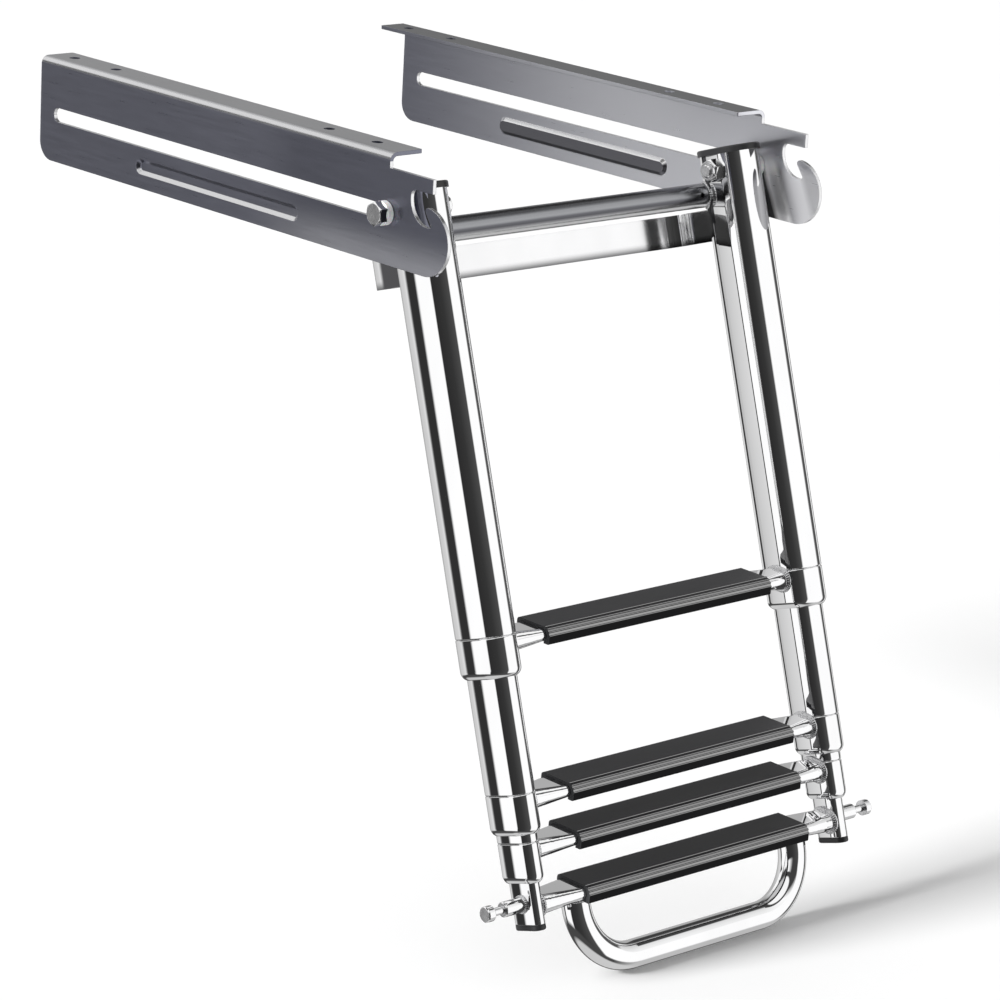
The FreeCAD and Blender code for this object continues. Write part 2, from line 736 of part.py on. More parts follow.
def pivot_bolt(name, side):
    """A hexagon bolt: chamfered head outside the bush, shank through to the nut."""
    body = hinge_body(name)
    head = new_sketch(body, "HeadOutline", "YZ_Plane", along_x(side, BUSH_OUT))
    regular_hexagon(head, "Head", "Sizes.bolt_head_flats")
    pad(body, head, "Head", "Sizes.bolt_head_height", back=side < 0)
    chamfer_hexagon(body, side, "Sizes.bolt_head_flats", "(%s + Sizes.bolt_head_height)" % BUSH_OUT, 1)
    tail = "(%s - Sizes.pivot_clearance - Sizes.nut_height - Sizes.nut_collar - Sizes.bolt_tail)" % TUBE_IN
    turned(body, side, "Shank", "Sizes.bolt_radius", tail, BUSH_OUT)
    end = side * evaluate(tail)
    test = lambda edge: abs(edge.BoundBox.XMin - end) < 0.01 and edge.BoundBox.XLength < 0.01
    bevel_edges(body, "TailBevel", "Sizes.bolt_bevel", test)
    return body


def pivot_nut(name, side):
    """A locknut: hexagon against the tube and a thin round collar on its far end."""
    body = hinge_body(name)
    seat = "(%s - Sizes.pivot_clearance)" % TUBE_IN
    back_face = "(%s - Sizes.nut_height)" % seat
    sketch = new_sketch(body, "NutOutline", "YZ_Plane", along_x(side, back_face))
    regular_hexagon(sketch, "Nut", "Sizes.nut_flats")
    pad(body, sketch, "Hexagon", "Sizes.nut_height", back=side < 0)
    chamfer_hexagon(body, side, "Sizes.nut_flats", back_face, -1)
    collar_radius = "(Sizes.nut_flats / 2 - Sizes.nut_collar_inset)"
    turned(body, side, "Collar", collar_radius, "(%s - Sizes.nut_collar)" % back_face, back_face)
    bore = new_sketch(body, "BoreOutline", "YZ_Plane", along_x(side, TUBE_IN))
    circle(bore, "Bore", "(Sizes.bolt_radius + Sizes.bolt_clearance)", "0", "0")
    through(body, bore, "Bore")
    return body


def slide_bush(name, side):
    """A nylon spool: washer outside the web, neck in the slot, spacer against the tube."""
    body = hinge_body(name)
    gap = "Sizes.slide_clearance"
    turned(body, side, "Washer", "Sizes.bush_radius", "(%s + %s)" % (WEB_OUT, gap), BUSH_OUT)
    neck = "(Sizes.slot_height / 2 - %s)" % gap
    turned(body, side, "Neck", neck, "(%s - %s)" % (WEB_IN, gap), "(%s + %s)" % (WEB_OUT, gap))
    turned(body, side, "Spacer", "Sizes.bush_radius", "(%s + Sizes.pivot_clearance)" % TUBE_OUT,
           "(%s - %s)" % (WEB_IN, gap))
    bore = new_sketch(body, "BoreOutline", "YZ_Plane", along_x(side, WEB_OUT))
    circle(bore, "Bore", "(Sizes.bolt_radius + Sizes.bolt_clearance)", "0", "0")
    through(body, bore, "Bore")
    return body


# Telescoping side tubes and their collars

def tube_place(side):
    """The centre of a side tube in the ladder's plan."""
    sign = "-" if side < 0 else ""
    return sign + GAUGE, "0"


def side_tube(name, side, section, top, bottom):
    """One flat-oval tube."""
    body = new_body(name, True)
    cx, cy = tube_place(side)
    breadth, depth = "Sizes.%s_breadth" % section, "Sizes.%s_depth" % section
    sketch = new_sketch(body, "TubeOutline", "XY_Plane", "-" + top)
    obround(sketch, "Outer", breadth, depth, cx, cy)
    wall = "2 * Sizes.tube_wall"
    obround(sketch, "Inner", "(%s - %s)" % (breadth, wall), "(%s - %s)" % (depth, wall), cx, cy)
    pad(body, sketch, "Tube", "%s - %s" % (bottom, top), back=True)
    low = -evaluate(bottom)
    outermost = (evaluate(breadth) / 2) + abs(evaluate(cx)) - 0.01
    rim = lambda edge: level(edge, low) and max(abs(edge.BoundBox.XMin), abs(edge.BoundBox.XMax)) > outermost
    round_edges(body, "EndRound", "Sizes.tube_end_round", rim)
    return body


def drill_for_bolt(body, side):
    """The holes for the pivot bolt through both walls of an upper tube."""
    sketch = new_sketch(body, "BoltHoleOutline", "YZ_Plane", along_x(side, GAUGE))
    circle(sketch, "BoltHole", "(Sizes.bolt_radius + Sizes.bolt_clearance)", "0", "0")
    through(body, sketch, "BoltHole")


def collar(name, side, section, inner, drop):
    """The end fitting of a tube: same outline, a spigot inside it, and a guide for the next tube."""
    body = new_body(name, True)
    cx, cy = tube_place(side)
    breadth, depth = "Sizes.%s_breadth" % section, "Sizes.%s_depth" % section
    sketch = new_sketch(body, "CollarOutline", "XY_Plane", "-" + drop)
    obround(sketch, "Outer", breadth, depth, cx, cy)
    pad(body, sketch, "Collar", "Sizes.collar_height", back=True)
    low = -(evaluate(drop) + size.collar_height)
    round_edges(body, "LowerRound", "Sizes.collar_round", lambda edge: level(edge, low))
    high = -evaluate(drop)
    round_edges(body, "Seam", "Sizes.collar_seam", lambda edge: level(edge, high))
    inset = "2 * (Sizes.tube_wall + Sizes.spigot_clearance)"
    spigot = new_sketch(body, "SpigotOutline", "XY_Plane", "-" + drop)
    obround(spigot, "Spigot", "(%s - %s)" % (breadth, inset), "(%s - %s)" % (depth, inset), cx, cy)
    pad(body, spigot, "Spigot", "Sizes.collar_spigot")
    bore = new_sketch(body, "GuideOutline", "XY_Plane", "-" + drop)
    gap = "2 * Sizes.telescope_clearance"
    obround(bore, "Guide", "(Sizes.%s_breadth + %s)" % (inner, gap),
            "(Sizes.%s_depth + %s)" % (inner, gap), cx, cy)
    through(body, bore, "Guide")
    return body


# Steps: a tube pressed flat in the middle and left round at its ends, with a ribbed pad

def lengthwise(y, z):
    """A test for the edge along the tread at one place of its section."""
    return lambda edge: (
        edge.BoundBox.XLength > 10
        and abs(edge.BoundBox.YMin - y) < 0.01
        and abs(edge.BoundBox.ZMin - z) < 0.01
    )


def step_body(name, drop):
    """A body centred on a step bar, level at rest."""
    body = doc.addObject("PartDesign::Body", name)
    body.Label = name
    body.setExpression("Placement.Base.x", "Sizes.overall_width / 2 - Sizes.flange_width / 2")
    forward = "%s * sin(Sizes.ladder_tilt * 1deg) + Sizes.step_forward" % drop
    body.setExpression("Placement.Base.y",
                       "Sizes.pivot_from_front - %s / 2 - (%s)" % (RAIL_LENGTH, forward))
    body.setExpression("Placement.Base.z",
                       "-Sizes.pivot_drop - %s * cos(Sizes.ladder_tilt * 1deg)" % drop)
    parts.append(body)
    return body


def step_bar(name, section, drop):
    """A step bar between the two side tubes of its section."""
    body = step_body(name, drop)
    end = "(%s - Sizes.%s_breadth / 2)" % (GAUGE, section)
    flat = "(Sizes.pad_length / 2 - Sizes.step_flat_margin)"
    middle = new_sketch(body, "FlatOutline", "YZ_Plane", "-" + flat)
    obround(middle, "Flat", "Sizes.step_thickness", "Sizes.step_width", "0", "0", upright=False)
    pad(body, middle, "Flat", "2 * %s" % flat)
    for side, tag in ((-1, "Left"), (1, "Right")):
        inner = new_sketch(body, tag + "FlatEnd", "YZ_Plane", along_x(side, flat))
        obround(inner, "Flat", "Sizes.step_thickness", "Sizes.step_width", "0", "0", upright=False)
        outer = new_sketch(body, tag + "RoundEnd", "YZ_Plane", along_x(side, end))
        obround(outer, "Round", "Sizes.step_end_height", "Sizes.step_end_width", "0",
                "-Sizes.step_end_drop", upright=False)
        doc.recompute()
        loft = body.newObject("PartDesign::AdditiveLoft", tag + "End")
        loft.Profile = inner
        loft.Sections = [outer]
        loft.Ruled = True
        doc.recompute()
    return body


def tread_pad(name, drop):
    """The pad clipped round a step bar, ribbed along its nose and open along its underside."""
    body = step_body(name, drop)
    start = "(-Sizes.pad_length / 2)"
    front = "(-Sizes.step_width / 2 - Sizes.pad_front)"
    rear = "(Sizes.step_width / 2 + Sizes.pad_rear)"
    top = "(Sizes.step_thickness / 2 + Sizes.pad_top)"
    low = "(-Sizes.step_thickness / 2 - Sizes.pad_bottom)"
    block = new_sketch(body, "PadOutline", "YZ_Plane", start)
    outline(block, "Pad", [
        (front, low),
        (rear, low),
        (rear, top),
        (front, top),
    ])
    pad(body, block, "Block", "Sizes.pad_length")
    rear_at, front_at = evaluate(rear), evaluate(front)
    top_at, low_at = evaluate(top), evaluate(low)
    round_edges(body, "RearTopRound", "Sizes.pad_rear_round", lengthwise(rear_at, top_at))
    round_edges(body, "RearLowRound", "Sizes.pad_rear_round", lengthwise(rear_at, low_at))
    round_edges(body, "FrontRound", "Sizes.pad_front_round", lengthwise(front_at, low_at))
    round_edges(body, "NoseRound", "Sizes.pad_nose_round", lengthwise(front_at, top_at))
    hollow = new_sketch(body, "BarOutline", "YZ_Plane", start)
    gap = "2 * Sizes.pad_clearance"
    obround(hollow, "Bar", "(Sizes.step_thickness + %s)" % gap, "(Sizes.step_width + %s)" % gap,
            "0", "0", upright=False)
    through(body, hollow, "BarSpace")
    mouth = new_sketch(body, "MouthOutline", "YZ_Plane", start)
    outline(mouth, "Mouth", [
        ("-Sizes.pad_mouth_front", low + " - 1"),
        ("Sizes.pad_mouth_rear", low + " - 1"),
        ("Sizes.pad_mouth_rear", "0"),
        ("-Sizes.pad_mouth_front", "0"),
    ])
    through(body, mouth, "Mouth")
    ribs = new_sketch(body, "RibOutline", "YZ_Plane", start)
    for number in range(RIB_COUNT):
        turn = "((Sizes.rib_first_turn + %d * Sizes.rib_turn) * 1deg)" % number
        along = "(%s + Sizes.pad_nose_round * (1 - cos(%s)))" % (front, turn)
        up = "(%s - Sizes.pad_nose_round * (1 - sin(%s)))" % (top, turn)
        circle(ribs, "Rib%d" % number, "Sizes.rib_radius", along, up)
    pad(body, ribs, "Ribs", "Sizes.pad_length")
    return body


# Top end

def top_cap(name, side):
    """The plastic cap: a rounded lid over the tube's rim and a plug inside it."""
    body = new_body(name, True)
    cx, cy = tube_place(side)
    lid = new_sketch(body, "LidOutline", "XY_Plane", "Sizes.upper_rise")
    lip = "2 * Sizes.cap_lip"
    obround(lid, "Lid", "(Sizes.upper_breadth + %s)" % lip, "(Sizes.upper_depth + %s)" % lip, cx, cy)
    pad(body, lid, "Lid", "Sizes.cap_height")
    high = size.upper_rise + size.cap_height
    round_edges(body, "LidRound", "Sizes.cap_round", lambda edge: level(edge, high))
    plug = new_sketch(body, "PlugOutline", "XY_Plane", "Sizes.upper_rise")
    inset = "2 * (Sizes.tube_wall + Sizes.spigot_clearance)"
    obround(plug, "Plug", "(Sizes.upper_breadth - %s)" % inset,
            "(Sizes.upper_depth - %s)" % inset, cx, cy)
    pad(body, plug, "Plug", "Sizes.cap_plug", back=True)
    return body


def fit_to_tube(body, side, tag):
    """Shapes the end of a welded piece to the outside of an upper tube."""
    cx, cy = tube_place(side)
    cope = new_sketch(body, tag + "Cope", "XY_Plane")
    obround(cope, "Cope", "Sizes.upper_breadth", "Sizes.upper_depth", cx, cy)
    through(body, cope, tag + "Cope")


def crossbar(name):
    """The round bar between the upper tubes, shaped to their flanks, with a vent hole in front."""
    body = new_body(name, True)
    reach = "(%s - Sizes.crossbar_end_gap)" % GAUGE
    sketch = new_sketch(body, "BarOutline", "YZ_Plane", "-" + reach)
    circle(sketch, "Bar", "Sizes.crossbar_radius", "Sizes.crossbar_behind", "-Sizes.crossbar_below")
    pad(body, sketch, "Bar", "2 * " + reach)
    for side, tag in ((-1, "Left"), (1, "Right")):
        fit_to_tube(body, side, tag)
    vent = new_sketch(body, "VentOutline", "XZ_Plane")
    circle(vent, "Vent", "Sizes.vent_radius", "Sizes.vent_from_middle", "-Sizes.crossbar_below")
    pocket(body, vent, "Vent", "Sizes.crossbar_behind")
    return body


def stop_strap(name):
    """The U-shaped flat strap, its legs welded to the rear of the upper tubes."""
    body = new_body(name, True)
    far = "Sizes.strap_behind"
    near = "(Sizes.upper_depth / 2 - Sizes.upper_breadth / 4)"
    t = "Sizes.strap_thickness"
    sketch = new_sketch(body, "StrapOutline", "XY_Plane", "-Sizes.strap_below")
    outline(sketch, "Strap", [
        ("-" + GAUGE, near),
        ("-(%s - %s)" % (GAUGE, t), near),
        ("-(%s - %s)" % (GAUGE, t), "(%s - %s)" % (far, t)),
        ("(%s - %s)" % (GAUGE, t), "(%s - %s)" % (far, t)),
        ("(%s - %s)" % (GAUGE, t), near),
        (GAUGE, near),
        (GAUGE, far),
        ("-" + GAUGE, far),
    ])
    pad(body, sketch, "Strap", "Sizes.strap_height", back=True)
    rear = size.strap_behind
    inner = rear - size.strap_thickness
    upright = lambda at: lambda edge: edge.BoundBox.ZLength > 5 and abs(edge.BoundBox.YMax - at) < 0.01
    round_edges(body, "OuterBends", "Sizes.strap_bend", upright(rear))
    round_edges(body, "InnerBends", "Sizes.strap_bend - Sizes.strap_thickness", upright(inner))
    for side, tag in ((-1, "Left"), (1, "Right")):
        fit_to_tube(body, side, tag)
    return body


# Foot end

def foot_plug(name, side):
    """The plastic plug in the open end of a bottom tube."""
    body = new_body(name, True)
    cx, cy = tube_place(side)
    lip = new_sketch(body, "LipOutline", "XY_Plane", "-" + FOOT_DROP)
    obround(lip, "Lip", "Sizes.bottom_breadth", "Sizes.bottom_depth", cx, cy)
    pad(body, lip, "Lip", "Sizes.foot_lip", back=True)
    low = -(evaluate(FOOT_DROP) + size.foot_lip)
    round_edges(body, "LipRound", "Sizes.foot_lip / 3", lambda edge: level(edge, low))
    plug = new_sketch(body, "PlugOutline", "XY_Plane", "-" + FOOT_DROP)
    inset = "2 * (Sizes.tube_wall + Sizes.spigot_clearance)"
    obround(plug, "Plug", "(Sizes.bottom_breadth - %s)" % inset,
            "(Sizes.bottom_depth - %s)" % inset, cx, cy)
    pad(body, plug, "Plug", "Sizes.foot_plug_height")
    return body


def latch_pin(name, side):
    """The stepped pin on a bottom tube: boss, neck and knob, which the rail's hook takes."""
    body = new_body(name, True)
    root = "(%s + Sizes.bottom_breadth / 2)" % GAUGE
    steps = [
        ("Boss", "Sizes.pin_boss_radius", root, BOSS_END),
        ("Neck", "Sizes.pin_neck_radius", BOSS_END, NECK_END),
        ("Knob", "Sizes.pin_knob_radius", NECK_END, KNOB_END),
    ]
    for tag, radius, near, far in steps:
        sketch = new_sketch(body, tag + "Outline", "YZ_Plane", along_x(side, near))
        circle(sketch, tag, radius, "0", "-" + PIN_DROP)
        pad(body, sketch, tag, "%s - %s" % (far, near), back=side < 0)
    end = side * evaluate(KNOB_END)
    test = lambda edge: abs(edge.BoundBox.XMin - end) < 0.01 and edge.BoundBox.XLength < 0.01
    bevel_edges(body, "KnobBevel", "Sizes.pin_bevel", test)
    neck = side * evaluate(BOSS_END)
    shoulder = lambda edge: (
        abs(edge.BoundBox.XMin - neck) < 0.01
        and edge.BoundBox.XLength < 0.01
        and edge.BoundBox.YLength > 2 * size.pin_neck_radius + 1
    )
    bevel_edges(body, "ShoulderBevel", "Sizes.pin_bevel", shoulder)
    return body


def grab_loop(name, bar):
    """The bent tube under the last step, its legs shaped to the underside of the step bar."""
    body = new_body(name + "_tube", True)
    parts.remove(body)
    path = new_sketch(body, "LoopPath", "XZ_Plane")
    half, bend = size.loop_half_width, size.loop_bend
    top = -evaluate(STEP_DROPS[3])
    low = top - size.loop_below_step
    shapes = [
        line(-half, top, -half, low + bend),
        arc(-half + bend, low + bend, bend, 180, 270),
        line(-half + bend, low, half - bend, low),
        arc(half - bend, low + bend, bend, 270, 360),
        line(half, low + bend, half, top),
    ]
    path.addGeometry(shapes, False)
    for joint in (("Tangent", 0, 2, 1, 1), ("Tangent", 1, 2, 2, 1), ("Tangent", 2, 2, 3, 1),
                  ("Tangent", 3, 2, 4, 1), ("Vertical", 0), ("Vertical", 4), ("Horizontal", 2)):
        path.addConstraint(Sketcher.Constraint(*joint))
    half_name = "Sizes.loop_half_width"
    top_name = "-" + STEP_DROPS[3]
    bind(path, "DistanceX", (-1, 1, 0, 1), -half, "Left", "-" + half_name)
    bind(path, "DistanceX", (-1, 1, 4, 2), half, "Right", half_name)
    bind(path, "DistanceY", (-1, 1, 0, 1), top, "LeftTop", top_name)
    bind(path, "DistanceY", (-1, 1, 4, 2), top, "RightTop", top_name)
    bind(path, "DistanceY", (-1, 1, 2, 1), low, "Low", "-(%s + Sizes.loop_below_step)" % STEP_DROPS[3])
    bind(path, "Radius", (1,), bend, "Bend", "Sizes.loop_bend")
    bind(path, "Radius", (3,), bend, "OtherBend", "Sizes.loop_bend")
    section = new_sketch(body, "LoopSection", "XY_Plane", top_name)
    circle(section, "Tube", "Sizes.loop_radius", "-" + half_name, "0")
    doc.recompute()
    pipe = body.newObject("PartDesign::AdditivePipe", "Loop")
    pipe.Profile = section
    pipe.Spine = (path, ["Edge%d" % k for k in range(1, 6)])
    doc.recompute()
    coped = doc.addObject("Part::Cut", name)
    coped.Base = body
    coped.Tool = bar
    coped.Label = name
    parts.append(coped)
    doc.recompute()
    return coped


# The whole ladder

SIDES = (("left", -1), ("right", 1))
for word, side in SIDES:
    rail(word + "_rail", side)
    pivot_bolt(word + "_pivot_bolt", side)
    pivot_nut(word + "_pivot_nut", side)
    slide_bush(word + "_slide_bush", side)
    upper = side_tube(word + "_upper_tube", side, "upper", TUBE_TOPS[0], COLLAR_DROPS[0])
    drill_for_bolt(upper, side)
    top_cap(word + "_top_cap", side)
    collar(word + "_upper_collar", side, "upper", "second", COLLAR_DROPS[0])
    side_tube(word + "_second_tube", side, "second", TUBE_TOPS[1], COLLAR_DROPS[1])
    collar(word + "_second_collar", side, "second", "third", COLLAR_DROPS[1])
    side_tube(word + "_third_tube", side, "third", TUBE_TOPS[2], COLLAR_DROPS[2])
    collar(word + "_third_collar", side, "third", "bottom", COLLAR_DROPS[2])
    side_tube(word + "_bottom_tube", side, "bottom", TUBE_TOPS[3], FOOT_DROP)
    foot_plug(word + "_foot_plug", side)
    latch_pin(word + "_latch_pin", side)
crossbar("crossbar")
stop_strap("stop_strap")
for number, section in enumerate(SECTIONS, start=1):
    bar = step_bar("step_bar_%d" % number, section, STEP_DROPS[number - 1])
    tread_pad("tread_pad_%d" % number, STEP_DROPS[number - 1])
grab_loop("grab_loop", bar)
doc.recompute()

# Every object and every sub-part is sound before anything is written

for item in doc.Objects:
    if "Invalid" in item.State or "Error" in item.State:
        raise RuntimeError("%s failed: %s" % (item.Name, item.State))
for piece in parts:
    if piece.Shape.isNull() or not piece.Shape.isValid():
        raise RuntimeError(piece.Label + " has no sound shape")
    if len(piece.Shape.Solids) != 1:
        raise RuntimeError("%s has %d solids" % (piece.Label, len(piece.Shape.Solids)))

os.makedirs("parts", exist_ok=True)
for piece in parts:
    piece.Shape.exportStep("parts/%s.step" % piece.Label)
print("%d parts, slide travel %.1f mm" % (len(parts), evaluate(SLIDE_TRAVEL)))
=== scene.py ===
import json
import math

import bmesh
import bpy
from mathutils import Matrix, Vector


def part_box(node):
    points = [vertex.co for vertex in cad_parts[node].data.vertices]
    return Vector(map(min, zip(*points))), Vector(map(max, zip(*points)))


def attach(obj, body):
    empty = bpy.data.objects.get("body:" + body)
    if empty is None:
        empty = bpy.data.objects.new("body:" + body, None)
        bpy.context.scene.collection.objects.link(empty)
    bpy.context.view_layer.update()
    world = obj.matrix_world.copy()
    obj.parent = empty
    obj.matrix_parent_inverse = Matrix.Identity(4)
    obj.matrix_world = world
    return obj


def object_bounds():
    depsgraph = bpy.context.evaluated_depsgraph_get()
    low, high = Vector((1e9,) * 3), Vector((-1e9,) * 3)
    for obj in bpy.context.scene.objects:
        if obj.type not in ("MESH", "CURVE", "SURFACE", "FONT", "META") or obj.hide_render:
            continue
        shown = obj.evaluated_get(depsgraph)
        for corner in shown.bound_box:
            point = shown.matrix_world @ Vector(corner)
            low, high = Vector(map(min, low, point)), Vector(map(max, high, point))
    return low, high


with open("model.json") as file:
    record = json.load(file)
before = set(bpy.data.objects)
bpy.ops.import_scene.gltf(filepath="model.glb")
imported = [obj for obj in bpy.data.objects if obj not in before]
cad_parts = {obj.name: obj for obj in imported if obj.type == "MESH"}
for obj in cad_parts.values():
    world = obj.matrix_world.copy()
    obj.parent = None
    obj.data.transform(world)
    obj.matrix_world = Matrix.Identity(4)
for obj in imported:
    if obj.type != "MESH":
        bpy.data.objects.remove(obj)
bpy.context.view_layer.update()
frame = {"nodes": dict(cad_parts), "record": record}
nodes = frame["nodes"]

MM = 0.001

# the hanging ladder: its lean, the middle between the rails and the pivots' line
TILT = math.radians(18)
MIDDLE = 175 * MM
PIVOT_Y = -213 * MM
PIVOT_Z = -44 * MM

# places on the ladder, in mm across from the middle, down the tube and behind its axis
TUBE_MIDDLE = 159.0
TUBE_END_RADIUS = 16.0
CROSSBAR_DROP = 17.3
CROSSBAR_BEHIND = 20.0
CROSSBAR_RADIUS = 10.0
PIN_DROP = 511.0
PIN_WELD_ACROSS = 165.2
PIN_WELD_RADIUS = 6.2
LOOP_ACROSS = 113.0
LOOP_WELD_RADIUS = 11.6
STRAP_DROP = 29.0
STRAP_WELD_LENGTH = 24.0
STRAP_BEHIND = 10.2

# where the materials change on the ladder, in mm, measured as above
CROSSBAR_END = 143.5
TUBES_FROM = 142.5
STRAP_FROM = 27.5
STRAP_BACK = 60.0

# on the right rail: just inside the web's inner face, where only the bead is, and the hook's root
BEAD_FOOT = 186.6 * MM
HOOK_FROM = 0.208


def ladder(x, s, q):
    """A point of the ladder in the row frame: across, down the tube and behind its axis, in mm."""
    y = PIVOT_Y + (-s * math.sin(TILT) + q * math.cos(TILT)) * MM
    z = PIVOT_Z + (-s * math.cos(TILT) - q * math.sin(TILT)) * MM
    return Vector((MIDDLE + x * MM, y, z))


# Materials

class Shader:
    """A small builder for node materials."""

    def __init__(self, name):
        self.material = bpy.data.materials.new(name)
        self.material.use_nodes = True
        self.tree = self.material.node_tree
        self.bsdf = self.tree.nodes["Principled BSDF"]
        self.place = self.node("ShaderNodeTexCoord").outputs["Object"]

    def node(self, kind, **settings):
        made = self.tree.nodes.new(kind)
        for key, setting in settings.items():
            setattr(made, key, setting)
        return made

    def link(self, source, target):
        self.tree.links.new(source, target)

    def stretched(self, scale, turn=(0, 0, 0)):
        mapping = self.node("ShaderNodeMapping")
        mapping.inputs["Scale"].default_value = scale
        mapping.inputs["Rotation"].default_value = turn
        self.link(self.place, mapping.inputs["Vector"])
        return mapping.outputs["Vector"]

    def noise(self, vector, scale, detail=3.0):
        made = self.node("ShaderNodeTexNoise")
        made.inputs["Scale"].default_value = scale
        made.inputs["Detail"].default_value = detail
        self.link(vector, made.inputs["Vector"])
        return made.outputs["Fac"]

    def ramp(self, value, stops):
        made = self.node("ShaderNodeValToRGB")
        band = made.color_ramp
        while len(band.elements) < len(stops):
            band.elements.new(0.5)
        for element, (place, colour) in zip(band.elements, stops):
            element.position = place
            element.color = (*colour, 1) if len(colour) == 3 else colour
        self.link(value, made.inputs["Fac"])
        return made.outputs["Color"]

    def span(self, value, low, high):
        made = self.node("ShaderNodeMapRange")
        made.inputs["To Min"].default_value = low
        made.inputs["To Max"].default_value = high
        self.link(value, made.inputs["Value"])
        return made.outputs["Result"]

    def math(self, operation, a, b=None, c=None):
        made = self.node("ShaderNodeMath", operation=operation)
        for socket, item in zip(made.inputs, (a, b, c)):
            if item is None:
                continue
            if isinstance(item, (int, float)):
                socket.default_value = item
            else:
                self.link(item, socket)
        return made.outputs[0]

    def mix(self, factor, a, b):
        made = self.node("ShaderNodeMix", data_type="RGBA")
        self.link(factor, made.inputs["Factor"])
        for socket, item in ((made.inputs["A"], a), (made.inputs["B"], b)):
            if isinstance(item, tuple):
                socket.default_value = (*item, 1)
            else:
                self.link(item, socket)
        return made.outputs["Result"]

    def bump(self, height, strength, distance, normal=None):
        made = self.node("ShaderNodeBump")
        made.inputs["Strength"].default_value = strength
        made.inputs["Distance"].default_value = distance
        self.link(height, made.inputs["Height"])
        if normal is not None:
            self.link(normal, made.inputs["Normal"])
        return made.outputs["Normal"]

    def parts_of(self, vector):
        """The three parts of a vector."""
        made = self.node("ShaderNodeSeparateXYZ")
        self.link(vector, made.inputs[0])
        return made.outputs["X"], made.outputs["Y"], made.outputs["Z"]

    def facing(self):
        """The three parts of the surface's own direction on its node."""
        return self.parts_of(self.node("ShaderNodeTexCoord").outputs["Normal"])

    def between(self, value, low, high):
        """Rises smoothly from 0 to 1 as a value goes from low to high."""
        made = self.node("ShaderNodeMapRange", interpolation_type="SMOOTHSTEP")
        made.inputs["From Min"].default_value = low
        made.inputs["From Max"].default_value = high
        self.link(value, made.inputs["Value"])
        return made.outputs["Result"]

    def edges(self, radius):
        made = self.node("ShaderNodeBevel", samples=6)
        made.inputs["Radius"].default_value = radius
        return made.outputs["Normal"]

    def put(self, **inputs):
        for key, item in inputs.items():
            socket = self.bsdf.inputs[key.replace("_", " ")]
            if isinstance(item, (int, float)):
                socket.default_value = item
            elif isinstance(item, tuple):
                socket.default_value = (*item, 1)
            else:
                self.link(item, socket)
        return self.material


